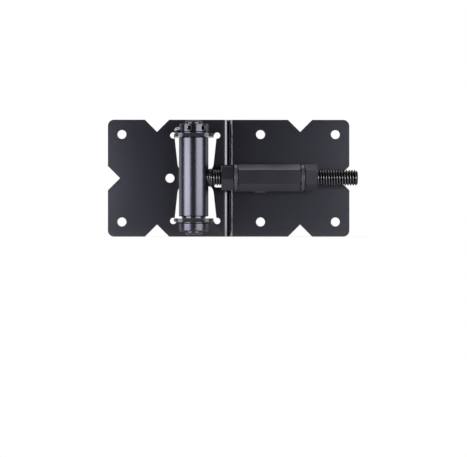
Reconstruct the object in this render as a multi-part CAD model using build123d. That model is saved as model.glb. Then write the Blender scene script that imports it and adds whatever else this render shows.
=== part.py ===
from build123d import *
import math
import os

# Self-closing gate hinge, in millimetres. +X runs from the post leaf to the gate leaf,
# +Z is up along the hinge pin, and -Y is the side that faces a person at the gate.
# The origin lies on the back face of the post leaf, level with the middle of the pin.

# Sheet metal of both leaves and of the yoke
sheet = 2.7
bend_inner = 1.0
bend_outer = bend_inner + sheet
leaf_height = 93.5
leaf_corner = 5.0
flange_depth = 20.0
notch_depth = 9.7

# Post leaf
post_edge_x = -68.6
post_flange_x = 27.9
post_notch_x = -29.3
window_root_z = 34.2
window_tip_z = 4.4
window_corner = 8.0
window_left_root_x = -15.4
window_left_tip_x = -12.2
window_right_root_x = 18.4
window_right_tip_x = 15.2
relief_r = 2.5
slot_x = (16.4, 23.6)
slot_z = (-7.3, 5.6)
slot_corner = 1.5

# Ears bent forward out of the post leaf, and the pin that they carry
ear_inner_z = 32.2
ear_outer_z = ear_inner_z + sheet
ear_tip_y = -31.9
ear_root_half = 15.9
ear_tip_half = 15.0
ear_corner = 8.0
pin_y = -(sheet + 17.0)
pin_r = 4.75
pin_head_r = 7.0
pin_head_height = 2.6
pin_head_round = 1.8

# Mounting holes
hole_r = 3.6
hole_half_pitch_z = 35.0
post_holes_x = -57.4
post_middle_hole_x = -19.0
gate_holes_x = (53.5, 113.5)

# Gaps: between parts that turn on each other, and between faces that slide past
running = 0.05
play = 0.1

# Collars at the two ends of the pin
collar_r = 11.6
collar_height = 6.4
collar_web = 1.5
washer_thickness = 1.05
washer_r = 11.3
collar_low_z = ear_outer_z + washer_thickness + play
collar_top_z = collar_low_z + collar_height
tension_hole_r = 1.5
tension_hole_mouth_r = 2.4
tension_hole_z = (collar_low_z + collar_top_z) / 2
tension_hole_count = 6
tension_pin_heading = -77.5

# Drive plug between the collar and the spring
hub_r = 7.9
hub_flat = 6.9
hub_top_z = collar_top_z - collar_web - play
plug_flange_r = 9.2
plug_flange_z = (20.4, 23.8)

# Tension pin and the stop that it leans on
tension_pin_r = 1.2
tension_pin_inner = 8.1
tension_pin_elbow = 10.2
tension_pin_bend = 2.5
tension_pin_turn = 20
tension_pin_grip = 4.8
tension_pin_round = 0.8
stop_r = 1.25
stop_reach = 13.0
stop_gap = 0.3
stop_z = (ear_inner_z + 0.4, tension_hole_z + 0.9)

# Spring barrel
barrel_r = 11.7
barrel_bore_r = 9.5
barrel_z = (-30.7, 31.9)
upper_bushing_z = (24.5, ear_inner_z - play)
lower_bushing_z = (-(ear_inner_z - play), -20.5)

# Torsion spring
wire_r = 1.3
coil_r = 7.2
coil_z = (-17.4, 17.4)
coil_turns = 11.25
arcs_per_turn = 4
tang_bend = 2.8
tang_length = 2.7
tang_hole_r = 1.45
tang_hole_depth = 4.0

# Threaded rod and the nuts on it
rod_r = 6.35
rod_end_x = 129.9
rod_chamfer = 1.0
nut_bore_r = rod_r + running
nut_across_flats = 19.05
nut_face_r = 9.3
nut_chamfer = 0.9
lock_nut_length = 10.0
weld_rise = 1.0
weld_reach = 3.2

# Gate leaf and its yoke
leaf_gap = 0.2
gate_flange_x = post_flange_x + leaf_gap
gate_edge_x = 124.7
gate_notch_x = 85.2
yoke_x = (32.0, 87.7)
yoke_half_width = 10.8
yoke_hole_r = 6.8
nut_end_play = 0.15
yoke_bead_x = (48.0, 57.5)
yoke_bead_leg = 1.1

reach = 200.0
standing = (Align.CENTER, Align.CENTER, Align.MIN)


def upright(x, y, z, radius):
    """A cylinder about a vertical line, between two heights."""
    return Pos(x, y, z[0]) * Cylinder(radius, z[1] - z[0], align=standing)


def crosswise(x, radius):
    """A cylinder about the rod's axis, between two places along X."""
    return Pos(x[0], pin_y, 0) * Rot(0, 90, 0) * Cylinder(radius, x[1] - x[0], align=standing)


def drilled(x, z, radius, y=(-sheet - 1, 1)):
    """A cylinder from front to back, as a drill leaves it."""
    return Pos(x, y[0], z) * Rot(-90, 0, 0) * Cylinder(radius, y[1] - y[0], align=standing)


def polygon(points):
    return make_face(Polyline(*points, close=True))


def rounded(face, corners, radius):
    """The face with the named corners rounded."""
    picked = [face.vertices().sort_by_distance(Vector(*corner, 0))[0] for corner in corners]
    return fillet(picked, radius)


def seen_from_front(face):
    """A prism through the whole depth, from a face drawn in X and Z."""
    return extrude(Plane.XZ.offset(-reach / 2) * face, reach)


def seen_from_side(face, x=(-reach, reach)):
    """A prism along X, from a face drawn in Y and Z."""
    return extrude(Plane.YZ.offset(x[0]) * face, x[1] - x[0])


def seen_from_top(face, z=(-reach / 2, reach / 2)):
    """A prism along Z, from a face drawn in X and Y."""
    return extrude(Plane.XY.offset(z[0]) * face, z[1] - z[0])


def leaf_blank(flange_x, edge_x, notch_x):
    """An L of sheet: a plate, bent back at one edge, with V notches on its other three sides."""
    away = math.copysign(1, edge_x - flange_x)
    half = leaf_height / 2
    section = polygon([
        (edge_x, -sheet),
        (flange_x, -sheet),
        (flange_x, flange_depth),
        (flange_x + away * sheet, flange_depth),
        (flange_x + away * sheet, 0),
        (edge_x, 0),
    ])
    section = rounded(section, [(flange_x, -sheet)], bend_outer)
    section = rounded(section, [(flange_x + away * sheet, 0)], bend_inner)
    outline = polygon([(flange_x, -half), (edge_x, -half), (edge_x, half), (flange_x, half)])
    outline = rounded(outline, [(edge_x, -half), (edge_x, half)], leaf_corner)
    for end in (-half, half):
        inward = math.copysign(notch_depth, -end)
        outline -= polygon([(notch_x - notch_depth, end), (notch_x, end + inward), (notch_x + notch_depth, end)])
    apex = edge_x - away * notch_depth
    outline -= polygon([(edge_x, -notch_depth), (apex, 0), (edge_x, notch_depth)])
    flange = polygon([(-reach, -half), (flange_depth, -half), (flange_depth, half), (-reach, half)])
    flange = rounded(flange, [(flange_depth, -half), (flange_depth, half)], leaf_corner)
    return seen_from_top(section) & seen_from_front(outline) & seen_from_side(flange)


def ear_window():
    """The opening that the upper ear was bent out of, without its relief holes."""
    bend_line = ear_inner_z + bend_outer
    face = polygon([
        (window_left_tip_x, window_tip_z),
        (window_right_tip_x, window_tip_z),
        (window_right_root_x, window_root_z),
        (ear_root_half, window_root_z),
        (ear_root_half, bend_line),
        (-ear_root_half, bend_line),
        (-ear_root_half, window_root_z),
        (window_left_root_x, window_root_z),
    ])
    tips = [(window_left_tip_x, window_tip_z), (window_right_tip_x, window_tip_z)]
    return rounded(face, tips, window_corner)


def ear(side, bore_r):
    """One ear with its bend, above the middle for side 1 and below it for side -1."""
    inner, outer = side * ear_inner_z, side * ear_outer_z
    plate_z = side * (ear_inner_z + bend_outer + 1)
    bent = polygon([
        (0, plate_z),
        (0, inner),
        (ear_tip_y, inner),
        (ear_tip_y, outer),
        (-sheet, outer),
        (-sheet, plate_z),
    ])
    bent = rounded(bent, [(0, inner)], bend_outer)
    bent = rounded(bent, [(-sheet, outer)], bend_inner)
    bend_end_y = -bend_outer
    shape = polygon([
        (-ear_root_half, 1),
        (-ear_root_half, bend_end_y),
        (-ear_tip_half, ear_tip_y),
        (ear_tip_half, ear_tip_y),
        (ear_root_half, bend_end_y),
        (ear_root_half, 1),
    ])
    shape = rounded(shape, [(-ear_tip_half, ear_tip_y), (ear_tip_half, ear_tip_y)], ear_corner)
    whole = seen_from_side(bent, (-ear_root_half, ear_root_half)) & seen_from_top(shape)
    return whole - upright(0, pin_y, sorted((inner - side, outer + side)), bore_r)


def stop_place():
    """Where the stop stands: beside the tension pin, on the side that the spring pulls it to."""
    heading = math.radians(tension_pin_heading)
    outward = Vector(math.sin(heading), -math.cos(heading), 0)
    pulled = Vector(outward.Y, -outward.X, 0)
    return outward * stop_reach + pulled * (tension_pin_r + stop_r + stop_gap)


def post_leaf():
    leaf = leaf_blank(post_flange_x, post_edge_x, post_notch_x)
    window = seen_from_front(ear_window())
    slot = Pos(sum(slot_x) / 2, sum(slot_z) / 2)
    slot *= RectangleRounded(slot_x[1] - slot_x[0], slot_z[1] - slot_z[0], slot_corner)
    leaf -= [window, mirror(window, about=Plane.XY), seen_from_front(slot)]
    leaf = leaf + ear(1, hub_r + play) + ear(-1, pin_r + running)
    reliefs = [
        drilled(x, z, relief_r, (-bend_outer, 1))
        for x in (window_left_root_x - 1, window_right_root_x + 0.4)
        for z in (-window_root_z, window_root_z)
    ]
    bolts = [drilled(post_holes_x, z, hole_r) for z in (-hole_half_pitch_z, hole_half_pitch_z)]
    stop = stop_place()
    stop_hole = upright(stop.X, pin_y + stop.Y, (stop_z[0], ear_outer_z + 1), stop_r)
    return leaf - reliefs - bolts - drilled(post_middle_hole_x, 0, hole_r) - stop_hole


def gate_leaf():
    leaf = leaf_blank(gate_flange_x, gate_edge_x, gate_notch_x)
    heights = (-hole_half_pitch_z, hole_half_pitch_z)
    return leaf - [drilled(x, z, hole_r) for x in gate_holes_x for z in heights]


def pin_head(face_z, side):
    """A low button head that stands on a face and is rounded at its outer rim."""
    ends = sorted((face_z, face_z + side * pin_head_height))
    head = upright(0, pin_y, ends, pin_head_r)
    rim = head.edges().filter_by(GeomType.CIRCLE).sort_by(Axis.Z)[-1 if side > 0 else 0]
    return fillet(rim, pin_head_round)


def hinge_pin():
    """The pin with a head on top and its lower end formed over the bottom collar."""
    top, bottom = collar_top_z + play, -(collar_top_z - play)
    return upright(0, pin_y, (bottom, top), pin_r) + pin_head(top, 1) + pin_head(bottom, -1)


def washer(z, bore_r):
    return upright(0, pin_y, z, washer_r) - upright(0, pin_y, z, bore_r)


def bottom_collar():
    top = -(ear_outer_z + washer_thickness)
    z = (-(collar_top_z - play), top)
    body = upright(0, pin_y, z, collar_r)
    body = chamfer(body.edges().filter_by(GeomType.CIRCLE), 0.4)
    return body - upright(0, pin_y, z, pin_r + running)


def double_d(radius, flat, z):
    """A round with two flats, facing the front and the back."""
    return upright(0, pin_y, z, radius) & Pos(0, pin_y, 0) * Box(2 * radius, 2 * flat, reach)


def collar_heading(number):
    """Direction of one tension hole, clockwise from the front as seen from above."""
    return tension_pin_heading + number * 360 / tension_hole_count


def radial(heading, solid):
    """Turns a solid that points at the front to a heading about the pin."""
    return Pos(0, pin_y, 0) * Rot(0, 0, heading) * solid


def tension_hole():
    """A drilled hole with a countersunk mouth, pointing at the front."""
    depth = collar_r + 1
    hole = Pos(0, 0, tension_hole_z) * Rot(90, 0, 0) * Cylinder(tension_hole_r, depth, align=standing)
    sink = tension_hole_mouth_r - tension_hole_r
    mouth = Cone(tension_hole_r, tension_hole_mouth_r + 1, sink + 1, align=standing)
    return hole + Pos(0, -(collar_r - sink), tension_hole_z) * Rot(90, 0, 0) * mouth


def tension_collar():
    body = upright(0, pin_y, (collar_low_z, collar_top_z), collar_r)
    body = chamfer(body.edges().filter_by(GeomType.CIRCLE), 0.4)
    body -= double_d(hub_r + running, hub_flat + running, (collar_low_z, collar_top_z - collar_web))
    body -= upright(0, pin_y, (collar_low_z, collar_top_z), pin_r + 2 * running)
    return body - [radial(collar_heading(n), tension_hole()) for n in range(tension_hole_count)]


def tang_place(turned, end):
    """Where a tang stands: on the far side of its bend from the end of the coil."""
    return Vector(coil_r, end * tang_bend, 0).rotate(Axis.Z, turned)


def spring_drive_plug():
    """A flanged sleeve: the spring's tang goes into its flange, the collar onto its flats."""
    low = plug_flange_z[0]
    plug = upright(0, pin_y, plug_flange_z, plug_flange_r)
    plug += upright(0, pin_y, (plug_flange_z[1], collar_low_z), hub_r)
    plug += double_d(hub_r, hub_flat, (collar_low_z, hub_top_z))
    place = tang_place(coil_turns * 360, 1)
    notch = upright(place.X, pin_y + place.Y, (low - 1, plug_flange_z[1]), tang_hole_r)
    outward = place.normalized()
    slot = Pos(place.X, pin_y + place.Y, low - 1) * Rot(0, 0, math.degrees(math.atan2(outward.Y, outward.X)))
    slot *= Box(4, 2 * tang_hole_r, plug_flange_z[1] - low + 1, align=(Align.MIN, Align.CENTER, Align.MIN))
    return plug - notch - slot - upright(0, pin_y, (low, hub_top_z), pin_r + running)


def tension_pin():
    """A short pin with a round end, bent a little downwards so that it can be gripped."""
    corner = Vector(0, -tension_pin_elbow, tension_hole_z)
    half, end = [
        corner + Vector(0, -math.sin(turn), math.cos(turn) - 1) * tension_pin_bend
        for turn in (math.radians(tension_pin_turn / 2), math.radians(tension_pin_turn))
    ]
    straight = Line((0, -tension_pin_inner, tension_hole_z), corner)
    bend = ThreePointArc(corner, half, end)
    grip = Line(end, end + (bend % 1) * tension_pin_grip)
    section = Plane(origin=straight @ 0, z_dir=straight % 0) * Circle(tension_pin_r)
    pin = sweep(section, path=straight + bend + grip)
    tip = pin.faces().sort_by(Axis.Y)[0]
    return radial(tension_pin_heading, fillet(tip.edges(), tension_pin_round))


def stop_pin():
    place = stop_place()
    pin = upright(place.X, pin_y + place.Y, stop_z, stop_r)
    return chamfer(pin.edges().filter_by(GeomType.CIRCLE).sort_by(Axis.Z)[-1], 0.3)


def barrel_tube():
    tube = upright(0, pin_y, barrel_z, barrel_r)
    tube = chamfer(tube.edges().filter_by(GeomType.CIRCLE), 0.4)
    return tube - upright(0, pin_y, barrel_z, barrel_bore_r)


def upper_bushing():
    return upright(0, pin_y, upper_bushing_z, barrel_bore_r) - upright(0, pin_y, upper_bushing_z, hub_r + running)


def lower_bushing():
    """A thick bush pressed into the barrel, with a blind hole for the lower tang."""
    bush = upright(0, pin_y, lower_bushing_z, barrel_bore_r) - upright(0, pin_y, lower_bushing_z, pin_r + running)
    place = tang_place(0, -1)
    top = lower_bushing_z[1]
    return bush - upright(place.X, pin_y + place.Y, (top - tang_hole_depth, top), tang_hole_r)


def helix_frame(turn):
    """A point of the coil's centre line and the direction it runs in, after some turns."""
    angle = 2 * math.pi * turn
    rise = (coil_z[1] - coil_z[0]) / coil_turns
    point = Vector(coil_r * math.cos(angle), coil_r * math.sin(angle), coil_z[0] + rise * turn)
    along = Vector(-coil_r * math.sin(angle), coil_r * math.cos(angle), rise / (2 * math.pi))
    return point, along.normalized()


def biarc(start, start_way, end, end_way):
    """Two arcs that leave one point and reach another in given directions, tangent where they meet."""
    chord = end - start
    ways = start_way + end_way
    bend = 2 * (1 - start_way.dot(end_way))
    step = (math.sqrt(chord.dot(ways) ** 2 + bend * chord.dot(chord)) - chord.dot(ways)) / bend
    meet = (start + end + (start_way - end_way) * step) * 0.5
    meet_way = (chord - ways * step).normalized()
    return [TangentArc(start, meet, tangent=start_way), TangentArc(meet, end, tangent=meet_way)]


def tang_path(point, way, up):
    """The bend at an end of the coil and the straight tang, from the coil outwards."""
    turned = Vector(0, 0, up)
    flat = Vector(way.X, way.Y, 0).normalized()
    foot = point + flat * tang_bend + turned * tang_bend
    return [*biarc(point, way, foot, turned), Line(foot, foot + turned * tang_length)]


def torsion_spring():
    """The coil on arcs of an eighth of a turn, with a tang bent along the axis at each end."""
    steps = round(coil_turns * arcs_per_turn)
    frames = [helix_frame(number / arcs_per_turn) for number in range(steps + 1)]
    edges = []
    for (start, start_way), (end, end_way) in zip(frames, frames[1:]):
        edges += biarc(start, start_way, end, end_way)
    first, last = frames[0], frames[-1]
    edges = tang_path(first[0], -first[1], -1)[::-1] + edges + tang_path(last[0], last[1], 1)
    path = Wire(edges)
    section = Plane(origin=path @ 0, z_dir=path % 0) * Circle(wire_r)
    points = [path @ (n / 1200) for n in range(1201)]
    apart = round(1200 * 6 * wire_r / path.length)
    gaps = [(a - b).length for i, a in enumerate(points) for b in points[i + apart::3]]
    print("spring: wire", 2 * wire_r, "length", round(path.length, 1), "least gap", round(min(gaps) - 2 * wire_r, 2))
    return Pos(0, pin_y, 0) * sweep(section, path=path)


def adjusting_rod():
    """The threaded rod at the full size of its thread, cut to sit on the barrel."""
    rod = crosswise((0, rod_end_x), rod_r)
    rod = chamfer(rod.edges().filter_by(GeomType.CIRCLE).sort_by(Axis.X)[-1], rod_chamfer)
    return rod - upright(0, pin_y, (-reach, reach), barrel_r)


def rod_weld():
    """The bead round the rod where it meets the barrel."""
    ring = crosswise((0, rod_end_x), rod_r + weld_rise) - crosswise((0, rod_end_x), rod_r)
    height = (-reach, reach)
    near = upright(0, pin_y, height, barrel_r + weld_reach) - upright(0, pin_y, height, barrel_r)
    return ring & near


def yoke_bracket():
    """A U of sheet on the gate leaf, its two uprights rounded and bored for the rod."""
    left, right = yoke_x
    back, front, top = -sheet, -2 * sheet, pin_y - yoke_half_width
    section = polygon([
        (left, top),
        (left, back),
        (right, back),
        (right, top),
        (right - sheet, top),
        (right - sheet, front),
        (left + sheet, front),
        (left + sheet, top),
    ])
    section = rounded(section, [(left, back), (right, back)], bend_outer)
    section = rounded(section, [(left + sheet, front), (right - sheet, front)], bend_inner)
    side = Pos(pin_y / 2, 0) * Rectangle(-pin_y, 2 * yoke_half_width) + Pos(pin_y, 0) * Circle(yoke_half_width)
    return (seen_from_top(section) & seen_from_side(side)) - crosswise(yoke_x, yoke_hole_r)


def yoke_welds(yoke):
    """Four beads that hold the yoke: one along each side and one across each end."""
    edge, leg, back = yoke_half_width, yoke_bead_leg, -sheet
    triangle = polygon([(back, edge), (back - 1.8 * leg, edge), (back, edge + leg)])
    side = seen_from_side(triangle, yoke_bead_x)
    corner = yoke_x[1] - bend_outer
    foot = polygon([
        (corner, back),
        (yoke_x[1] + leg / 2, back),
        (yoke_x[1] + leg / 2, back - 0.4),
        (yoke_x[1], back - bend_outer),
    ])
    right = seen_from_top(foot, (-edge + 1.5, edge - 1.5)) - yoke
    middle = Plane.YZ.offset(sum(yoke_x) / 2)
    left = mirror(right, about=middle)
    return Compound([*side.solids(), *mirror(side, about=Plane.XY).solids(), *right.solids(), *left.solids()])


def hex_nut(x, turned):
    """A hexagon bar about the rod, with its ends chamfered and its bore at the thread's full size."""
    corner_r = nut_across_flats / math.sqrt(3)
    bar = seen_from_side(Pos(pin_y, 0) * RegularPolygon(corner_r, 6, rotation=turned), x)
    start, end = x
    turning = polygon([
        (start, 0),
        (start, nut_face_r),
        (start + nut_chamfer, corner_r + 0.1),
        (end - nut_chamfer, corner_r + 0.1),
        (end, nut_face_r),
        (end, 0),
    ])
    return (bar & Pos(0, pin_y, 0) * revolve(turning, Axis.X)) - crosswise(x, nut_bore_r)


yoke_inside = (yoke_x[0] + sheet, yoke_x[1] - sheet)
adjusting_nut_x = (yoke_inside[0] + nut_end_play, yoke_inside[1] - nut_end_play)
inner_nut_x = (yoke_x[0] - nut_end_play - lock_nut_length, yoke_x[0] - nut_end_play)
outer_nut_x = (yoke_x[1] + nut_end_play, yoke_x[1] + nut_end_play + lock_nut_length)
yoke = yoke_bracket()

parts = {
    "post_leaf": post_leaf(),
    "hinge_pin": hinge_pin(),
    "top_washer": washer((ear_outer_z, ear_outer_z + washer_thickness), hub_r + 2 * play),
    "bottom_washer": washer((-(ear_outer_z + washer_thickness), -ear_outer_z), pin_r + play),
    "bottom_collar": bottom_collar(),
    "stop_pin": stop_pin(),
    "tension_collar": tension_collar(),
    "spring_drive_plug": spring_drive_plug(),
    "tension_pin": tension_pin(),
    "barrel_tube": barrel_tube(),
    "upper_bushing": upper_bushing(),
    "lower_bushing": lower_bushing(),
    "torsion_spring": torsion_spring(),
    "adjusting_rod": adjusting_rod(),
    "rod_weld": rod_weld(),
    "gate_leaf": gate_leaf(),
    "yoke_bracket": yoke,
    "yoke_welds": yoke_welds(yoke),
    "adjusting_nut": hex_nut(adjusting_nut_x, 27.6),
    "inner_lock_nut": hex_nut(inner_nut_x, 8.9),
    "outer_lock_nut": hex_nut(outer_nut_x, 30.0),
}

os.makedirs("parts", exist_ok=True)
for name, shape in parts.items():
    export_step(shape, f"parts/{name}.step")
    print(name, round(shape.volume), "mm3")
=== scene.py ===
# %% [markdown]
# # A self-closing gate hinge
#
# The hinge holds a gate on its post and shuts it again. A leaf of bent sheet goes on the post, and
# two ears of that leaf carry an upright pin with a spring barrel on it. A threaded rod is welded to
# the barrel. The gate's leaf rides on the rod in a U-shaped yoke, between nuts.
#
# The packed model already has every part at its exact size and place. It is loaded first and stays
# where it is. This lesson then gives each part the finer shape and the finish that the eye expects:
# threads, welds, softened edges, and black coats that break up the light.

# %% The packed model
import math
import bmesh
import bpy
import numpy as np
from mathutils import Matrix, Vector


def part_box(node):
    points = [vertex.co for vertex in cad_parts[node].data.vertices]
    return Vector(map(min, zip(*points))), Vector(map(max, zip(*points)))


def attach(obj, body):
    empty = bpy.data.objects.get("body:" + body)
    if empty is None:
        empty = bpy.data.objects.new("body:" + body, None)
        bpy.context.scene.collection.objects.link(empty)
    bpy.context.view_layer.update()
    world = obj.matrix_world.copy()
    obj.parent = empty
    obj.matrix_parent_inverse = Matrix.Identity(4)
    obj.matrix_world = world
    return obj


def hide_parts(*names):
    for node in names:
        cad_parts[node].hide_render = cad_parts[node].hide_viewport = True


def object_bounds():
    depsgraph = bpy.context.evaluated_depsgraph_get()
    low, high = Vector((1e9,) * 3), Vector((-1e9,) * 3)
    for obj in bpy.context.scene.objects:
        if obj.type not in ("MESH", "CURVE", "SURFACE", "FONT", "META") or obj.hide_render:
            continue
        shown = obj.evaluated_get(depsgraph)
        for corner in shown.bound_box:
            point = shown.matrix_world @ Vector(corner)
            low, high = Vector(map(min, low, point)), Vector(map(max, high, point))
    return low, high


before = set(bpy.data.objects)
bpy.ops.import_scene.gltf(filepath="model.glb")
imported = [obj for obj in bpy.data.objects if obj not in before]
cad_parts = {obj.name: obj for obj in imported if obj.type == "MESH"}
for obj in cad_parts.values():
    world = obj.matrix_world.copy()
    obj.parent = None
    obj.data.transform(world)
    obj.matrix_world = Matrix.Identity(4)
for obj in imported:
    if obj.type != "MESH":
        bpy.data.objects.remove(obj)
cad_box = [list(corner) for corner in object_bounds()]
mm = 0.001
print("parts:", len(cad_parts), "box in mm:", np.round(np.array(cad_box) / mm, 1).tolist())

# %% [markdown]
# ## The camera
#
# The photograph was taken from far away, straight at the leaves, so nothing in it converges. A
# long lens from nearly two metres gives that. The leaf's front face measures 0.8 mm to the pixel,
# and the pin stands at column 193.7 and the leaf's middle at row 178.2. The camera stands straight
# in front of the pin, low down, and turns a little to put the hinge where it is in the picture.

# %% Where the camera stands
picture = (467, 457)
pixel = 0.8 * mm
zero_column, zero_row = 193.7, 178.2
sheet = 2.7 * mm
distance = 1.8

aim_x = (picture[0] / 2 - zero_column) * pixel
aim_z = (zero_row - picture[1] / 2) * pixel
lens = bpy.data.cameras.new("camera")
lens.sensor_width = 36.0
lens.lens = 36.0 * distance / (picture[0] * pixel)
camera = bpy.data.objects.new("camera", lens)
camera.location = (0, -sheet - distance, aim_z)
line_of_sight = Vector((aim_x, -sheet, aim_z)) - camera.location
camera.rotation_euler = line_of_sight.to_track_quat("-Z", "Y").to_euler()
bpy.context.scene.collection.objects.link(camera)
bpy.context.scene.camera = camera
print("lens", round(lens.lens, 1), "mm, aimed at", round(aim_x / mm, 1), round(aim_z / mm, 1))

# %% [markdown]
# ## Writing shader maths as sums
#
# A finish is a network of nodes, which is slow to read as a list of links. Here a socket is wrapped
# in a small class, so that `1 - mask` or `0.4 + 0.1 * cloud` adds the Math nodes by itself. Every
# other node comes from one method, which takes the node's type, its settings and its inputs.

# %% A wire between nodes
class Wire:
    """One value on its way between two nodes. Sums on it become Math nodes."""

    def __init__(self, board, socket):
        self.board = board
        self.socket = socket

    def __add__(self, other):
        return self.board.sum("ADD", self, other)

    def __sub__(self, other):
        return self.board.sum("SUBTRACT", self, other)

    def __rsub__(self, other):
        return self.board.sum("SUBTRACT", other, self)

    def __mul__(self, other):
        return self.board.sum("MULTIPLY", self, other)

    __radd__ = __add__
    __rmul__ = __mul__


print("a wire takes part in:", sorted(set(vars(Wire)) & {"__add__", "__sub__", "__mul__"}))

# %% A board that nodes are set on
class Board:
    """A node tree being wired, of a finish or of the world."""

    def __init__(self, owner):
        owner.use_nodes = True
        self.owner = owner
        self.tree = owner.node_tree
        self.tree.nodes.clear()

    def node(self, kind, settings=None, inputs=None, output=0):
        """A node of a type. Its settings come first, then the values or wires of its sockets."""
        made = self.tree.nodes.new(kind)
        for name, value in (settings or {}).items():
            setattr(made, name, value)
        for name, value in (inputs or {}).items():
            if isinstance(value, Wire):
                self.tree.links.new(value.socket, made.inputs[name])
            else:
                made.inputs[name].default_value = value
        return Wire(self, made.outputs[output]) if made.outputs else made

    def sum(self, operation, first, second=0.0):
        return self.node("ShaderNodeMath", {"operation": operation}, {0: first, 1: second})

    def part(self, place, axis):
        """The X, Y or Z of a place."""
        return self.node("ShaderNodeSeparateXYZ", {}, {0: place}, output=axis)

    def length(self, place):
        """How long the way from the origin to a place is."""
        settings = {"operation": "LENGTH"}
        return self.node("ShaderNodeVectorMath", settings, {0: place}, output="Value")

    def fade(self, value, nothing, full, soft=False):
        """A mask: 0 where the value is at nothing, 1 where it is at full, and even in between, or
        soft at both ends."""
        settings = {"interpolation_type": "SMOOTHSTEP"} if soft else {}
        return self.node("ShaderNodeMapRange", settings, {"Value": value, 1: nothing, 2: full})

    def place(self):
        """Where a point of the piece is, in metres, in the hinge's own frame."""
        return self.node("ShaderNodeTexCoord", output="Object")

    def stretched(self, place, scale, offset=(0, 0, 0)):
        """The place moved by an offset and then multiplied by a scale along X, Y and Z."""
        moved = self.node("ShaderNodeVectorMath", {"operation": "ADD"}, {0: place, 1: offset})
        return self.node("ShaderNodeVectorMath", {"operation": "MULTIPLY"}, {0: moved, 1: scale})

    def noise(self, place, scale, detail):
        """Soft random values from 0 to 1, with spots about 1 / scale wide."""
        inputs = {"Vector": place, "Scale": scale, "Detail": detail}
        return self.node("ShaderNodeTexNoise", {}, inputs)

    def blend(self, share, first, second):
        """One colour, written or wired, turning into another."""
        first = first if isinstance(first, Wire) else (*first, 1)
        inputs = {"Factor": share, 6: first, 7: (*second, 1)}
        return self.node("ShaderNodeMix", {"data_type": "RGBA"}, inputs, output=2)

    def bump(self, height, depth):
        """Raises the surface by a depth, in metres, where the height is 1."""
        inputs = {"Height": height, "Distance": depth, "Strength": 1.0}
        return self.node("ShaderNodeBump", {}, inputs)

    def coat(self, **inputs):
        """The finish's own shader, wired to the end of the board."""
        named = {name.replace("_", " "): value for name, value in inputs.items()}
        shader = self.node("ShaderNodeBsdfPrincipled", {}, named)
        self.node("ShaderNodeOutputMaterial", {}, {"Surface": shader})
        return self.owner


print("a board can set:", [name for name in vars(Board) if not name.startswith("_")])

# %% [markdown]
# ## The studio
#
# The barrel in the photograph shows two pale bands with a dark line between them. A shiny upright
# cylinder is a map of the room: the bands are two soft boxes, one at the left and one at the right,
# and the dark line is the unlit space round the camera. The leaves add to this. They get paler
# towards their outer ends, and the left one more quickly, so the left box is small and near, and
# the right one is far away and wide. Both are low, as the barrel's bands end with it. Thin pale
# lines on upper edges, and the pale top of the long nut, show a third box overhead and a little
# behind.
#
# The room in front of the hinge is dark, and the backdrop behind it is white. Only what looks
# straight at the backdrop, or mirrors it at a flat angle, sees it white.

# %% Three soft boxes
pin_y = -19.7 * mm


def soft_box(name, heading, rise, away, width, height, glow):
    """A glowing rectangle that faces the pin. Its heading is counted from the front towards +X,
    and its rise from level upwards. Power = glow * pi * area."""
    across, up = math.radians(heading), math.radians(rise)
    way = Vector((math.sin(across) * math.cos(up), -math.cos(across) * math.cos(up), math.sin(up)))
    lamp = bpy.data.lights.new(name, "AREA")
    lamp.shape = "RECTANGLE"
    lamp.size, lamp.size_y = width, height
    lamp.energy = glow * math.pi * width * height
    holder = bpy.data.objects.new(name, lamp)
    holder.location = Vector((0, pin_y, 0)) + way * away
    holder.rotation_euler = (-way).to_track_quat("-Z", "Y").to_euler()
    holder.visible_camera = False
    bpy.context.scene.collection.objects.link(holder)
    place_in_mm = [round(value / mm) for value in holder.location]
    print(name, "at", place_in_mm, "power", round(lamp.energy, 2))


soft_box("left_soft_box", heading=-51.5, rise=-7, away=0.21, width=0.189, height=0.17, glow=7.3)
soft_box("right_soft_box", heading=45.5, rise=2.5, away=0.63, width=0.60, height=0.157, glow=7.5)
soft_box("overhead_soft_box", heading=0, rise=110, away=0.50, width=0.50, height=0.20, glow=2.3)

# %% Dark air in front, white behind
world = bpy.data.worlds.new("studio")
bpy.context.scene.world = world
air = Board(world)
air_light, darker_mirrored, backdrop_mirrored = 0.06, 0.04, 0.65

direction = air.node("ShaderNodeTexCoord", output="Generated")
behind = air.fade(air.part(direction, "Y"), -0.1, 0.8, soft=True)
seen = air.node("ShaderNodeLightPath", output="Is Camera Ray")
through = air.node("ShaderNodeLightPath", output="Is Transmission Ray")
mirrored = air.node("ShaderNodeLightPath", output="Is Glossy Ray")
shown = air.sum("MAXIMUM", seen, through)
lit = air_light + mirrored * (behind * backdrop_mirrored - darker_mirrored)
light = shown + (1 - shown) * lit
background = air.node("ShaderNodeBackground", {}, {"Color": (1, 1, 1, 1), "Strength": light})
air.node("ShaderNodeOutputWorld", {}, {"Surface": background})
scene = bpy.context.scene
scene.view_settings.view_transform = "Standard"
print("world nodes:", len(world.node_tree.nodes))

# %% [markdown]
# ## Surfaces from arrays
#
# Every new piece is a surface with two directions: rows along a profile or a path, and columns
# round it. The points are worked out as one array, with no loop over them. Rims that meet are
# merged, and the faces are then turned outwards, so that the piece is a closed body.

# %% Faces between the points of a grid
def grid_faces(points, around, slip):
    """Four corners for each face, from row to row and column to column. With around, the last
    column meets the first one, and with a slip it meets it that many rows further on, as on a
    screw."""
    rows, columns = points.shape[:2]
    number = np.arange(rows * columns).reshape(rows, columns)
    beside = np.full_like(number, -1)
    beside[:, :-1] = number[:, 1:]
    if around:
        beside[: rows - slip, -1] = number[slip:, 0]
    faces = np.stack([number[:-1], beside[:-1], beside[1:], number[1:]], axis=-1).reshape(-1, 4)
    return faces[(faces >= 0).all(axis=1)]


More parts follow.
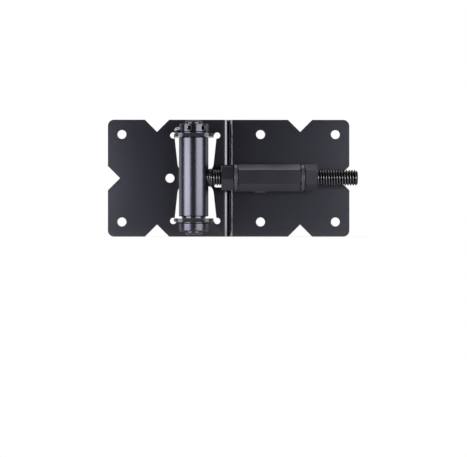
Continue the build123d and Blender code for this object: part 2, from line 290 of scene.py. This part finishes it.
def surface(points, around=True, slip=0):
    """Points of a grid as a list, with its faces."""
    points = np.asarray(points, float)
    return points.reshape(-1, 3), grid_faces(points, around, slip)


print("3 rows of 4 points, closed round:", len(surface(np.zeros((3, 4, 3)))[1]), "faces")

# %% A closed piece from surfaces
merge_distance = 0.002 * mm
shortest_edge = 0.0001 * mm


def make_mesh(name, surfaces, outwards=True):
    """Joins surfaces into one mesh, merges points that coincide and turns the faces outwards."""
    starts = np.cumsum([0] + [len(points) for points, _ in surfaces])
    corners = np.concatenate([points for points, _ in surfaces])
    faces = np.concatenate([faces + start for (_, faces), start in zip(surfaces, starts)])
    mesh = bpy.data.meshes.new(name)
    mesh.from_pydata(corners, [], faces)
    work = bmesh.new()
    work.from_mesh(mesh)
    bmesh.ops.remove_doubles(work, verts=work.verts, dist=merge_distance)
    bmesh.ops.dissolve_degenerate(work, edges=work.edges, dist=shortest_edge)
    if outwards:
        bmesh.ops.recalc_face_normals(work, faces=work.faces)
    open_edges = sum(not edge.is_manifold for edge in work.edges)
    work.to_mesh(mesh)
    work.free()
    print(name, "points", len(mesh.vertices), "faces", len(mesh.polygons), "open edges", open_edges)
    return mesh


print("points closer than", merge_distance / mm, "mm become one")

# %% A piece on its body, shaded round
def set_on_hinge(name, mesh, finish, body, node):
    """Makes the object, gives it its finish, lets it ride on a body of the model, and puts it in
    the place of a part of the model."""
    piece = bpy.data.objects.new(name, mesh)
    bpy.context.scene.collection.objects.link(piece)
    mesh.materials.clear()
    mesh.materials.append(finish)
    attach(piece, body)
    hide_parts(node)
    return piece


def smooth(piece, sharp):
    """Shades the piece round, keeps edges sharper than an angle, and lets large faces stay flat."""
    piece.data.shade_smooth()
    piece.data.set_sharp_from_angle(angle=math.radians(sharp))
    weighing = piece.modifiers.new("flat_faces_stay_flat", "WEIGHTED_NORMAL")
    weighing.keep_sharp = True
    return piece


# %% [markdown]
# ## The floor
#
# The hinge stands just above a pale floor that runs into white, as on a sheet of studio paper.
# Close to the hinge the floor is plain grey paint, lifted to nearly white for the camera alone, and
# takes the shadow. Further out it turns into the same white as the background, so no edge shows.
# In reflections both are much dimmer, because the floor in front of the real hinge lay in the dark.

# %% A round of pale floor
floor_z = cad_box[0][2] - 0.1 * mm
floor_middle = ((cad_box[0][0] + cad_box[1][0]) / 2, 0.0)
floor_radius = 0.9
paint_ends, white_starts = 0.095, 0.135
camera_lift, mirror_lift = 0.78, 0.50
mirror_loss = 0.8


def floor_surface(radius, rows=24, columns=96):
    """Rings about the middle: a ring's radius times the cosine and sine of the column's angle."""
    reach = np.linspace(0, radius, rows)[:, None]
    angle = np.linspace(0, 2 * np.pi, columns, endpoint=False)[None, :]
    across = floor_middle[0] + reach * np.cos(angle)
    along = floor_middle[1] + reach * np.sin(angle)
    return surface(np.stack([across, along, np.full_like(across, floor_z)], axis=-1))


paint = Board(bpy.data.materials.new("floor_paint"))
spot = paint.stretched(paint.place(), (1, 1, 0), (-floor_middle[0], -floor_middle[1], 0))
far = paint.fade(paint.length(spot), paint_ends, white_starts, soft=True)
camera_ray = paint.node("ShaderNodeLightPath", output="Is Camera Ray")
glossy_ray = paint.node("ShaderNodeLightPath", output="Is Glossy Ray")
through_ray = paint.node("ShaderNodeLightPath", output="Is Transmission Ray")
looked_at = paint.sum("MAXIMUM", paint.sum("MAXIMUM", camera_ray, glossy_ray), through_ray)
dull = paint.node("ShaderNodeBsdfDiffuse", {}, {"Color": (0.32, 0.32, 0.32, 1)})
lift_strength = camera_ray * camera_lift + glossy_ray * mirror_lift
lift = paint.node("ShaderNodeEmission", {}, {"Strength": lift_strength})
near = paint.node("ShaderNodeAddShader", {}, {0: dull, 1: lift})
white = paint.node("ShaderNodeEmission", {}, {"Strength": 1 - glossy_ray * mirror_loss})
whole = paint.node("ShaderNodeMixShader", {}, {0: far * looked_at, 1: near, 2: white})
paint.node("ShaderNodeOutputMaterial", {}, {"Surface": whole})

floor_mesh = make_mesh("floor", [floor_surface(floor_radius)], outwards=False)
floor = bpy.data.objects.new("floor", floor_mesh)
bpy.context.scene.collection.objects.link(floor)
floor_mesh.materials.append(paint.owner)

# %% [markdown]
# ## The black coats
#
# Most of the hinge is black, and only its gloss tells the parts apart. The leaves and the yoke wear
# a powder coat, which sets with a faint orange-peel skin. The barrel, the pin and the collars have
# the same colour but shine more. The nuts and the rod are blackened steel, with the marks of
# drawing still on them, and each nut comes from another batch: the long one is smooth, the inner
# one duller, and the outer one dull and a little faded.
#
# Handling wears the coat at edges. The rims of the yoke's uprights are also painted a paler grey,
# a painted highlight. Where all that happens is worked out from the place of a point in the hinge,
# so the marks stay where they are from every side.

# %% Where the coat is not whole, and where a highlight is painted
slit_x = (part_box("post_leaf")[1].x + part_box("gate_leaf")[0].x) / 2
# A paler grey painted on the rims of the yoke's uprights: a painted highlight.
painted_highlight_grey = (0.065, 0.065, 0.075)
cool = (0.80, 0.80, 1.0, 1.0)


def distance_from_rod(board, place):
    """How far a point is from the rod's axis, from its depth and its height."""
    return board.length(board.stretched(place, (0, 1, 1), (0, -pin_y, 0)))


def wear_and_painted_light_masks(board, place):
    """Masks of the places where the coat is not whole, and of one where a highlight is painted.
    Each
    is a product of fades, which are 1 inside a range of X, depth, height or distance:

    sheared: edges of the ears, in front of the leaf and between the heights of an ear's two faces
    painted_highlight: rims of the yoke's uprights, in front of the leaf and far from the rod, where
    a paler grey stands for a highlight
    slit: the narrow gap between the two flanges
    cut: edges of both leaves, inside the thickness of the sheet and away from the bends
    pressed: the start of the post leaf's bend
    """
    across, depth = board.part(place, "X"), board.part(place, "Y")
    height = board.sum("ABSOLUTE", board.part(place, "Z"))
    off_slit = board.sum("ABSOLUTE", across - slit_x)
    off_middle = board.sum("ABSOLUTE", depth + sheet / 2)
    forward = board.fade(depth, -6.0 * mm, -7.0 * mm)
    over = board.fade(height, 32.3 * mm, 32.5 * mm)
    under = board.fade(height, 34.8 * mm, 34.6 * mm)
    low_enough = board.fade(height, 12.0 * mm, 11.5 * mm)
    rim = board.fade(distance_from_rod(board, place), 10.0 * mm, 10.5 * mm)
    on_yoke = board.fade(across, 31.0 * mm, 31.5 * mm)
    inside = board.fade(off_middle, 1.30 * mm, 1.20 * mm)
    off_bends = board.fade(off_slit, 4.0 * mm, 4.5 * mm)
    past_flat = board.fade(across, 23.8 * mm, 24.2 * mm)
    before_round = board.fade(across, 25.7 * mm, 24.9 * mm)
    sheared = forward * over * under
    # Painted highlight: the rims of the yoke's uprights.
    painted_highlight = forward * rim * low_enough * on_yoke
    slit = board.fade(off_slit, 0.6 * mm, 0.3 * mm)
    return sheared, painted_highlight, slit, inside * off_bends, past_flat * before_round


print("slit between the flanges at", round(slit_x / mm, 2))

# %% Powder coat on the sheet metal, and the glossier one on turned parts
def powder_coat(name, dark, pale, shine, peel, glaze, index=1.5):
    """Broad clouds in the colour, and a skin of two noises, 2 mm and 0.4 mm wide. The glaze is a
    thin glossy layer on top, which draws a fine light along every bend. It is weak or missing, and
    the coat under it duller, where the coat is not whole. The rims of the yoke's uprights also turn
    a paler grey, a painted highlight."""
    board = Board(bpy.data.materials.new(name))
    place = board.place()
    sheared, painted_highlight, slit, cut, pressed = wear_and_painted_light_masks(board, place)
    cloud = board.noise(place, 22.0, 3.0)
    skin = board.noise(place, 480.0, 2.0)
    grit = board.noise(place, 2600.0, 1.0)
    clouded = board.blend(cloud * 0.7 + grit * 0.3, dark, pale)
    duller = sheared * 0.12 + painted_highlight * 0.22 + slit * 0.5 + cut * 0.3 + pressed * 0.12
    glazed = (1 - sheared * 0.75) * (1 - painted_highlight * 0.6) * (1 - slit) * (1 - cut)
    glazed = glazed * (1 - pressed * 0.85)
    return board.coat(
        # Painted highlight: the yoke's rims turn a paler grey.
        Base_Color=board.blend(painted_highlight, clouded, painted_highlight_grey),
        Roughness=shine + cloud * 0.05 + grit * 0.06 + duller,
        Normal=board.bump(skin * 0.75 + grit * 0.25, peel),
        IOR=index,
        Specular_Tint=cool,
        Coat_Weight=glaze * glazed,
        Coat_Roughness=0.14,
        Coat_IOR=1.65,
    )


leaf_coat = powder_coat(
    "black_powder_coat", dark=(0.006, 0.006, 0.010), pale=(0.010, 0.010, 0.016),
    shine=0.27, peel=0.02 * mm, glaze=1.0, index=1.6,
)
gloss_coat = powder_coat(
    "black_gloss_coat", dark=(0.005, 0.005, 0.008), pale=(0.008, 0.008, 0.012),
    shine=0.21, peel=0.004 * mm, glaze=0.0, index=1.85,
)
print("coats:", leaf_coat.name, gloss_coat.name)


# %% Blackened steel of the nuts
def blackened_bar(name, shine, grain, index, dark, pale):
    """Fine lines along the bar, from a noise that is drawn out along X, over soft clouds. Grain is
    how deep those lines are."""
    board = Board(bpy.data.materials.new(name))
    place = board.place()
    lines = board.noise(board.stretched(place, (60, 2600, 2600)), 1.0, 2.0)
    cloud = board.noise(place, 90.0, 3.0)
    grit = board.noise(place, 3000.0, 1.0)
    return board.coat(
        Base_Color=board.blend(cloud * 0.6 + lines * 0.4, dark, pale),
        Roughness=shine + cloud * 0.08 + lines * 0.06,
        Normal=board.bump(lines * 0.6 + grit * 0.4, grain),
        IOR=index,
        Specular_Tint=(0.84, 0.84, 1.0, 1.0),
    )


def blackened_thread():
    """The rolled thread: its crests are paler and metallic, partly from wear and partly as a
    painted highlight, and its grooves are painted near black, a painted shade.
    """
    board = Board(bpy.data.materials.new("black_oxide_thread"))
    place = board.place()
    crest = board.fade(distance_from_rod(board, place), 6.0 * mm, 6.3 * mm)
    cloud = board.noise(place, 160.0, 3.0)
    grit = board.noise(place, 2400.0, 2.0)
    # Crests: partly wear, partly a painted highlight. Grooves: near black, a painted shade.
    bright = crest * (0.45 + cloud * 0.5)
    return board.coat(
        Base_Color=board.blend(bright, (0.002, 0.002, 0.003), (0.42, 0.42, 0.46)),
        Roughness=0.26 - crest * 0.06 + grit * 0.08,
        Metallic=crest * 0.9,
        Normal=board.bump(grit, 0.006 * mm),
        IOR=1.35,
    )


fresh = {"dark": (0.010, 0.010, 0.013), "pale": (0.019, 0.019, 0.024)}
faded = {"dark": (0.026, 0.026, 0.031), "pale": (0.040, 0.040, 0.046)}
bar_black = blackened_bar("black_oxide_bar", shine=0.28, grain=0.005 * mm, index=1.65, **fresh)
forged_black = blackened_bar("black_oxide_forged", shine=0.34, grain=0.010 * mm, index=1.7, **fresh)
dull_black = blackened_bar("black_oxide_dull", shine=0.44, grain=0.012 * mm, index=1.5, **faded)
thread_black = blackened_thread()
print("blackened:", bar_black.name, forged_black.name, dull_black.name, thread_black.name)


# %% Bare metals that show in the gaps
def bare_metal(name, dark, pale, shine, scale):
    """A metal with cloudy colour and roughness."""
    board = Board(bpy.data.materials.new(name))
    place = board.place()
    cloud = board.noise(place, scale, 3.0)
    grit = board.noise(place, 2200.0, 2.0)
    return board.coat(
        Base_Color=board.blend(cloud, dark, pale),
        Roughness=shine + grit * 0.10 + cloud * 0.05,
        Metallic=1.0,
        Normal=board.bump(grit, 0.008 * mm),
    )


zinc = bare_metal("zinc_plate", (0.52, 0.53, 0.56), (0.70, 0.71, 0.74), 0.22, 300.0)
dark_steel = bare_metal("dark_steel", (0.055, 0.055, 0.061), (0.085, 0.085, 0.093), 0.16, 200.0)
spring_steel = bare_metal("spring_steel", (0.16, 0.16, 0.17), (0.26, 0.26, 0.27), 0.30, 250.0)
acetal = powder_coat(
    "black_acetal", dark=(0.008, 0.008, 0.009), pale=(0.012, 0.012, 0.013),
    shine=0.40, peel=0.005 * mm, glaze=0.0,
)
print("bare:", zinc.name, dark_steel.name, spring_steel.name, acetal.name)


# %% The coat of the collar, with bright holes
def drilled_collar():
    """The gloss coat with a painted highlight in its drilled holes: the countersinks take a pale
    metallic colour. They lie between the collar's skin and its bore, at the height of the holes,
    and that is all that the masks measure."""
    board = Board(bpy.data.materials.new("gloss_coat_with_bright_holes"))
    place = board.place()
    reach = board.length(board.stretched(place, (1, 1, 0), (0, -pin_y, 0)))
    low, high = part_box("tension_collar")
    off_holes = board.sum("ABSOLUTE", board.part(place, "Z") - (low.z + high.z) / 2)
    under_skin = board.fade(reach, 11.5 * mm, 11.4 * mm)
    in_mouth = board.fade(reach, 10.5 * mm, 10.8 * mm)
    at_height = board.fade(off_holes, 2.5 * mm, 2.4 * mm)
    # Painted highlight: the countersinks of the six holes.
    painted_highlight = under_skin * in_mouth * at_height
    cloud = board.noise(place, 400.0, 3.0)
    skin = board.noise(place, 480.0, 2.0)
    return board.coat(
        Base_Color=board.blend(painted_highlight, (0.006, 0.006, 0.009), (0.34, 0.34, 0.37)),
        Roughness=0.19 + cloud * 0.05 + painted_highlight * 0.12,
        Metallic=painted_highlight * 0.8,
        Normal=board.bump(skin, 0.008 * mm),
        IOR=1.7,
        Specular_Tint=cool,
    )


collar_coat = drilled_collar()
print("collar:", collar_coat.name)

# %% Every part of the model gets the finish of its slot
finishes = {
    "black_powder_coat": leaf_coat,
    "black_gloss_coat": gloss_coat,
    "black_oxide": bar_black,
    "zinc_plate": zinc,
    "black_acetal": acetal,
    "dark_steel": dark_steel,
    "spring_steel": spring_steel,
}
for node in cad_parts.values():
    for holder in node.material_slots:
        holder.material = finishes[holder.material.name]
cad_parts["tension_collar"].material_slots[0].material = collar_coat
print("finishes:", sorted(finishes))

# %% [markdown]
# ## The threaded rod
#
# The rod is half-inch screw stock, twelve threads to the inch. A thread is one groove that winds
# round and climbs one pitch a turn. If each row of the grid follows the groove instead of standing
# square to the rod, the crest stays crisp however few points there are. The last column then meets
# the first one a whole pitch further on.

# %% Thread as a screw surface
pitch = 25.4 / 12 * mm
crest_phase = [-0.048, -0.027, 0.014, 0.0625, 0.111, 0.152, 0.173]
crest_r = [6.27, 6.309, 6.34, 6.35, 6.34, 6.309, 6.27]
groove_phase = np.array([*crest_phase, 0.31, 0.45, 0.48, 0.5625, 0.645, 0.675, 0.815])
groove_r = np.array([*crest_r, 5.74, 5.19, 5.13, 5.10, 5.13, 5.19, 5.74]) * mm


def screw_surface(start, end, angles, rim, inside_nut, spare=0.0):
    """Distance along = pitch times (row's phase + angle / whole turn), kept between start and end.
    Distance out = the groove's profile at that phase plus some spare. A cone at each end then
    bounds it: from above on a rod, and from below inside a nut."""
    first = math.floor(start / pitch) - 2
    last = math.ceil(end / pitch) + 2
    turns = np.arange(first, last)[:, None] + groove_phase[None, :]
    phase = turns.reshape(-1, 1)
    along = np.clip(pitch * (phase + angles[None, :] / (2 * np.pi)), start, end)
    out = np.broadcast_to(np.tile(groove_r + spare, last - first)[:, None], along.shape)
    slope = np.minimum(along - start, end - along)
    out = np.maximum(out, rim - slope) if inside_nut else np.minimum(out, rim + slope)
    return along, out


def about_rod(along, out, angles):
    """Points about the rod's axis: X is the distance along, and Y and Z go round it."""
    return np.stack([along, pin_y + out * np.cos(angles), out * np.sin(angles)], axis=-1)


def end_disc(along, rim, angles):
    """A flat end: a ring at the rim and a point in the middle."""
    out = np.array([rim, 0.0])[:, None] * np.ones(len(angles))
    return surface(about_rod(np.full_like(out, along), out, angles[None, :]))


rows_per_turn = len(groove_phase)
angles = np.linspace(0, 2 * np.pi, 64, endpoint=False)
rod_start, rod_end, rod_rim = 9.62 * mm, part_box("adjusting_rod")[1].x, 4.9 * mm
along, out = screw_surface(rod_start, rod_end, angles, rod_rim, inside_nut=False)
rod_mesh = make_mesh("threaded_rod", [
    surface(about_rod(along, out, angles[None, :]), slip=rows_per_turn),
    end_disc(rod_start, rod_rim, angles),
    end_disc(rod_end, rod_rim, angles),
])
rod = set_on_hinge(
    "threaded_rod", rod_mesh, thread_black, "barrel_side", "adjusting_rod",
)
smooth(rod, sharp=50)

# %% [markdown]
# ## The nuts
#
# A nut starts as hexagon bar. Its ends are turned to a shallow cone, and the cone cuts the six
# flats in the curved lines that every nut shows. The place where cone and flat meet is worked out
# for each column, so that those lines are sharp. Inside runs the same screw surface as on the rod,
# a hair larger.

# %% A hexagon with turned ends
flat_r = 19.05 / 2 * mm
corner_r = 10.88 * mm
face_r = 9.3 * mm
mouth_r = 6.95 * mm
thread_play = 0.07 * mm
cone_slope = 0.5


def hexagon(turned):
    """Angles with columns on each corner, and the distance out to the flats: half the width across
    flats over the cosine of the angle from the flat's middle, but no further than the corner."""
    edge = math.degrees(math.acos(flat_r / corner_r))
    sector = np.array([-edge, -25, -20, -14, -7, 0, 7, 14, 20, 25, edge, 30])
    offsets = np.radians((np.arange(6)[:, None] * 60 + sector[None, :]).ravel())
    out = np.tile(np.minimum(flat_r / np.cos(np.radians(sector)), corner_r), 6)
    return offsets + math.radians(turned), out


def nut(name, node, body, turned, finish):
    """Rows go from the mouth over the face, the cone and the flats to the other mouth."""
    low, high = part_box(node)
    start, end = low.x, high.x
    angles, out = hexagon(turned)
    cone = (out - face_r) * cone_slope
    ease = 0.06 * mm
    steps_out = np.stack([
        np.full_like(out, mouth_r),
        np.full_like(out, mouth_r + 0.15 * mm),
        np.full_like(out, face_r - 0.15 * mm),
        np.full_like(out, face_r + 0.02 * mm),
        out - 2 * ease,
        out - 0.5 * ease,
        out,
    ])
    steps_in = np.stack([
        np.zeros_like(out),
        np.zeros_like(out),
        np.zeros_like(out),
        np.full_like(out, 0.02 * mm),
        np.maximum(cone - ease, 0.03 * mm),
        cone + 0.3 * ease,
        cone + 2.5 * ease,
    ])
    outside = np.concatenate([steps_out, steps_out[::-1]])
    places = np.concatenate([start + steps_in, end - steps_in[::-1]])
    along, bore = screw_surface(start, end, angles, mouth_r, inside_nut=True, spare=thread_play)
    mesh = make_mesh(name, [
        surface(about_rod(places, outside, angles[None, :])),
        surface(about_rod(along, bore, angles[None, :]), slip=rows_per_turn),
    ])
    return smooth(set_on_hinge(name, mesh, finish, body, node), sharp=40)


# A flat's middle lies half a sector from a corner of the model's hexagon.
nut("long_hexagon_nut", "adjusting_nut", "long_nut", 27.6 + 30, bar_black)
nut("inner_nut", "inner_lock_nut", "inner_nut", 8.9 + 30, forged_black)
nut("outer_nut", "outer_lock_nut", "outer_nut", 30.0 + 30, dull_black)

# %% [markdown]
# ## Turned parts on the pin
#
# Barrel, pin, washers and collar are all made on a lathe: a profile carried round the pin's axis. A
# real edge is never knife sharp, so each corner of a profile is first eased into a small curve,
# which is what catches the light along a rim.

# %% A profile with eased corners, carried round
def eased(corners, ease, steps=4):
    """Each corner becomes a curve: corner + ease * ((1 - t)^2 * way back + t^2 * way on), for t
    from 0 to 1."""
    corners = np.array(corners, float)
    ease = np.broadcast_to(np.asarray(ease, float), len(corners))[:, None]
    back = np.roll(corners, 1, axis=0) - corners
    on = np.roll(corners, -1, axis=0) - corners
    back /= np.linalg.norm(back, axis=1, keepdims=True)
    on /= np.linalg.norm(on, axis=1, keepdims=True)
    t = np.linspace(0, 1, steps)[:, None, None]
    curve = corners + ease * (back * (1 - t) ** 2 + on * t**2)
    return curve.transpose(1, 0, 2).reshape(-1, 2)


def about_pin(profile, columns=128):
    """Carries (distance out, height) round the pin: X is out times the sine of the heading, and Y
    is the pin's place less out times its cosine."""
    out, height = profile[:, :1] * mm, profile[:, 1:] * mm
    heading = np.linspace(0, 2 * np.pi, columns, endpoint=False)[None, :]
    x = out * np.sin(heading)
    y = pin_y - out * np.cos(heading)
    return surface(np.stack([x, y, np.broadcast_to(height, x.shape)], axis=-1))


def span(node):
    """Lowest and highest point of a part of the model, in mm."""
    low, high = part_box(node)
    return low.z / mm, high.z / mm


def ring(name, node, body, bore, outer, edge):
    """A turned ring: four corners in profile, the outer two chamfered, all of them eased."""
    low, high = span(node)
    corners = [
        (bore, low), (outer - edge, low), (outer, low + edge),
        (outer, high - edge), (outer - edge, high), (bore, high),
    ]
    profile = eased(corners, [0.1, 0.12, 0.12, 0.12, 0.12, 0.1])
    closed = np.concatenate([profile, profile[:1]])
    mesh = make_mesh(name, [about_pin(closed)])
    piece = set_on_hinge(name, mesh, gloss_coat, body, node)
    return smooth(piece, sharp=35)


ring("spring_barrel", "barrel_tube", "barrel_side", bore=9.5, outer=11.7, edge=0.5)
ring("end_collar", "bottom_collar", "post_side", bore=4.8, outer=11.6, edge=0.5)
ring("upper_washer", "top_washer", "post_side", bore=8.1, outer=11.3, edge=0.15)
ring("lower_washer", "bottom_washer", "post_side", bore=4.85, outer=11.3, edge=0.15)


# %% The pin and its two heads
def headed_pin():
    """One profile from the lower head's middle, up the shank, to the upper head's middle. The
    upper head is the lower one upside down."""
    low, high = span("hinge_pin")
    head, height, shank = 7.0, 2.6, 4.75
    lower = [(0, low), (5.4, low), (6.4, low + 0.4), (head, low + 1.1), (head, low + height)]
    upper = [(out, low + high - z) for out, z in reversed(lower)]
    neck = [(shank, low + height), (shank, high - height)]
    ease = [0, 0.4, 0.3, 0.3, 0.05]
    profile = eased([*lower, *neck, *upper], [*ease, 0.05, 0.05, *reversed(ease)])
    profile[:, 0] = np.maximum(profile[:, 0], 0)
    return about_pin(profile)


pin_mesh = make_mesh("headed_pin", [headed_pin()])
pin = set_on_hinge(
    "headed_pin", pin_mesh, gloss_coat, "post_side", "hinge_pin",
)
smooth(pin, sharp=35)

# %% [markdown]
# ## Sheet metal with soft edges
#
# The leaves and the yoke are cut from sheet and bent. Their shape in the model is exact but its
# edges are mathematical. A copy of each is merged, its flat areas are joined into whole faces, and
# a small bevel rounds every edge as the coat does on the real one.

# %% Rounded copies of the cut sheets
def softened(name, node, body, round_off):
    """A merged copy of a part of the model, with its sharp edges rounded by a bevel."""
    work = bmesh.new()
    work.from_mesh(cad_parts[node].data)
    bmesh.ops.remove_doubles(work, verts=work.verts, dist=merge_distance)
    flat = math.radians(0.3)
    bmesh.ops.dissolve_limit(work, angle_limit=flat, verts=work.verts, edges=work.edges)
    open_edges = sum(not edge.is_manifold for edge in work.edges)
    mesh = bpy.data.meshes.new(name)
    work.to_mesh(mesh)
    work.free()
    piece = set_on_hinge(name, mesh, leaf_coat, body, node)
    mesh.shade_smooth()
    mesh.set_sharp_from_angle(angle=math.radians(30))
    rounding = piece.modifiers.new("rounded_edges", "BEVEL")
    rounding.width = round_off
    rounding.segments = 3
    rounding.limit_method = "ANGLE"
    rounding.angle_limit = math.radians(30)
    rounding.use_clamp_overlap = True
    rounding.harden_normals = True
    print(name, "faces", len(mesh.polygons), "open edges", open_edges)
    return piece


softened("post_plate", "post_leaf", "post_side", 0.25 * mm)
softened("gate_plate", "gate_leaf", "gate_side", 0.25 * mm)
softened("yoke", "yoke_bracket", "gate_side", 0.8 * mm)

# %% [markdown]
# ## Welds
#
# A weld bead is laid down puddle by puddle, so it carries fine crescents across its back. Each bead
# is a tube along the seam whose thickness swells and shrinks with those puddles.

# %% A bead along a seam
def bead_swell(along, round_it, puddles, depth):
    """1 plus a small wave: the puddles' phase runs ahead at the sides, which bends them into
    crescents."""
    phase = along * puddles + 0.35 * np.cos(round_it) ** 2
    return 1 + depth * (0.5 - np.abs(phase % 1 - 0.5) * 2)


def rod_bead():
    """A closed bead round the rod where it stands on the barrel. The seam's X is the barrel's own
    curve: the root of its radius squared less the seam's depth squared."""
    columns, rows = 28, 480
    turn = np.linspace(0, 2 * np.pi, rows, endpoint=False)[:, None]
    round_it = np.linspace(0, 2 * np.pi, columns, endpoint=False)[None, :]
    middle, seam = 13.2 * mm, 6.3 * mm
    across, up = seam * np.cos(turn), seam * np.sin(turn)
    foot = np.sqrt(middle**2 - across**2)
    swell = bead_swell(turn / (2 * np.pi), round_it, 26, 0.10)
    out = seam + 0.95 * mm * swell * np.cos(round_it)
    x = foot + 1.6 * mm * swell * np.sin(round_it)
    points = np.stack([x, pin_y + out * np.cos(turn), out * np.sin(turn)], axis=-1)
    return surface(np.concatenate([points, points[:1]]))


def straight_bead(start, end, corner, legs):
    """A bead along X from start to end. Its thickness is the root of 1 less the sixth power of the
    distance from its middle, so that the ends are blunt and closed. Corner is the seam's place in Y
    and Z, and legs say how far the bead reaches from there."""
    columns, rows = 28, 200
    u = np.linspace(0, 1, rows)[:, None]
    round_it = np.linspace(0, 2 * np.pi, columns, endpoint=False)[None, :]
    blunt = np.maximum(1 - np.abs(2 * u - 1) ** 6, 0) ** 0.5
    swell = blunt * bead_swell(u, round_it, 9, 0.16)
    x = start + (end - start) * u + 0 * round_it
    y = corner[0] + legs[0] * swell * np.cos(round_it)
    z = corner[1] + legs[1] * swell * np.sin(round_it)
    return surface(np.stack([x, y, z], axis=-1))


rod_weld_mesh = make_mesh("barrel_weld", [rod_bead()])
rod_weld = set_on_hinge(
    "barrel_weld", rod_weld_mesh, gloss_coat, "barrel_side", "rod_weld",
)
smooth(rod_weld, sharp=70)

# %% Four beads at the yoke
yoke_half, bead_leg = 10.8 * mm, 1.1 * mm
side_start, side_end = 48.0 * mm, 57.5 * mm
side_beads = [
    straight_bead(side_start, side_end, (-sheet - 0.2 * mm, side * yoke_half), (1.7 * mm, bead_leg))
    for side in (-1, 1)
]


def end_bead(x, side):
    """A bead across an end of the yoke, from its lower to its upper edge."""
    reach = yoke_half - 1.5 * mm
    points, faces = straight_bead(-reach, reach, (0, 0), (1, 1))
    along, deep, out = points.T
    turned = [x + side * bead_leg * out, -sheet - 0.25 * mm + 1.5 * mm * deep, along]
    return np.stack(turned, axis=1), faces


low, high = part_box("yoke_bracket")
end_beads = [end_bead(low.x + 0.9 * mm, -1), end_bead(high.x - 0.9 * mm, 1)]
yoke_bead_mesh = make_mesh("yoke_beads", side_beads + end_beads)
yoke_weld = set_on_hinge(
    "yoke_beads", yoke_bead_mesh, leaf_coat, "gate_side", "yoke_welds",
)
smooth(yoke_weld, sharp=70)

# %% [markdown]
# ## The tension pin
#
# The collar on top is turned with a rod to wind the spring, and this bright pin in one of its six
# holes keeps it there. It is a short wire with a round end, bent down a little for the fingers.

# %% A bent wire with round ends
def tension_wire():
    """Centre line: straight out to the elbow, an arc down through a small angle, then straight on.
    The wire's thickness follows a quarter circle near each end, which rounds it off."""
    heading, turn = math.radians(-77.5), math.radians(20)
    inner, elbow, bend, grip = 8.1 * mm, 10.2 * mm, 2.5 * mm, 4.8 * mm
    wire, cap = 1.2 * mm, 0.8 * mm
    height = sum(span("tension_collar")) / 2 * mm
    straight, arc = elbow - inner, bend * turn
    length = straight + arc + grip
    near_end = cap * (1 - np.cos(np.linspace(0, np.pi / 2, 9)))
    between = np.linspace(cap, length - cap, 42)[1:-1]
    steps = np.concatenate([near_end, between, length - near_end[::-1]])[:, None]
    from_end = np.clip(np.minimum(steps, length - steps) / cap, 0, 1)
    thick = wire - cap * (1 - np.sqrt(np.clip(1 - (1 - from_end) ** 2, 0, 1)))
    bent = np.clip((steps - straight) / bend, 0, turn)
    beyond = np.clip(steps - straight - arc, 0, None)
    out = inner + np.minimum(steps, straight) + bend * np.sin(bent) + beyond * math.cos(turn)
    down = bend * (1 - np.cos(bent)) + beyond * math.sin(turn)
    round_it = np.linspace(0, 2 * np.pi, 32, endpoint=False)[None, :]
    above, side = thick * np.cos(round_it), thick * np.sin(round_it)
    out = out + above * np.sin(bent)
    rise = height - down + above * np.cos(bent)
    x = out * math.sin(heading) + side * math.cos(heading)
    y = pin_y - out * math.cos(heading) + side * math.sin(heading)
    tube = np.stack([x, y, rise], axis=-1)
    ends = tube.mean(axis=1, keepdims=True).repeat(tube.shape[1], axis=1)
    return surface(np.concatenate([ends[:1], tube, ends[-1:]]))


wire_mesh = make_mesh("tension_wire", [tension_wire()])
wire = set_on_hinge(
    "tension_wire", wire_mesh, zinc, "tension_lock", "tension_pin",
)
smooth(wire, sharp=60)

# %% [markdown]
# ## Done
#
# The pieces must not make the hinge larger than the packed model, so the packed model's box is
# printed.

# %% Sizes
print("cad box in mm", np.round(np.array(cad_box) / mm, 2).tolist())
